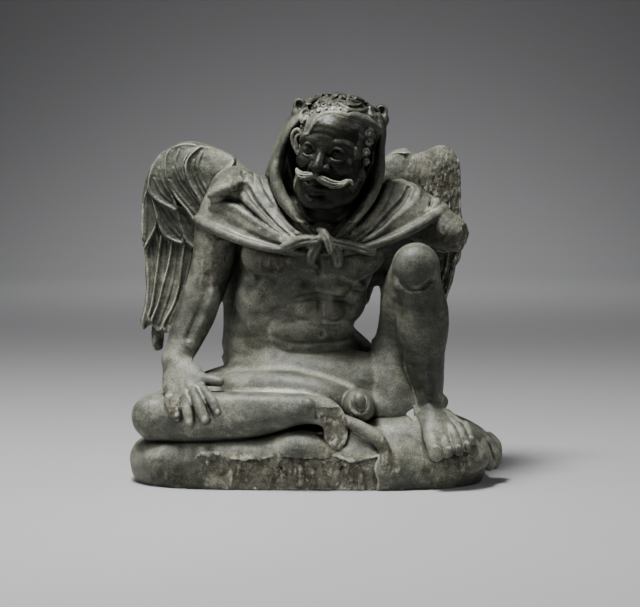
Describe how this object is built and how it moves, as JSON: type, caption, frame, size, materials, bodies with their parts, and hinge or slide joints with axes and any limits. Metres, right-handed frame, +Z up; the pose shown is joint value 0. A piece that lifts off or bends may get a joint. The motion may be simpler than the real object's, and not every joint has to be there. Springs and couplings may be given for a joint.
{
  "type": "atlas statue",
  "caption": "Crouching winged stone atlas in a lion-skin hood and knotted cape, with a raised knee, a folded leg and broken limbs, on low rough ground.",
  "frame": {"origin": "middle of the bounding box's bottom face, on the underside of the carved ground", "axes": "+Z up, -Y the way the figure faces, +X to the viewer's right as one looks at the front"},
  "size_m": [0.5418, 0.2618, 0.5603],
  "materials": {
    "schist": "matt, worn smooth on the raised places"
  },
  "bodies": {
    "root": {"winged_atlas_figure": "schist"}
  },
  "joints": []
}
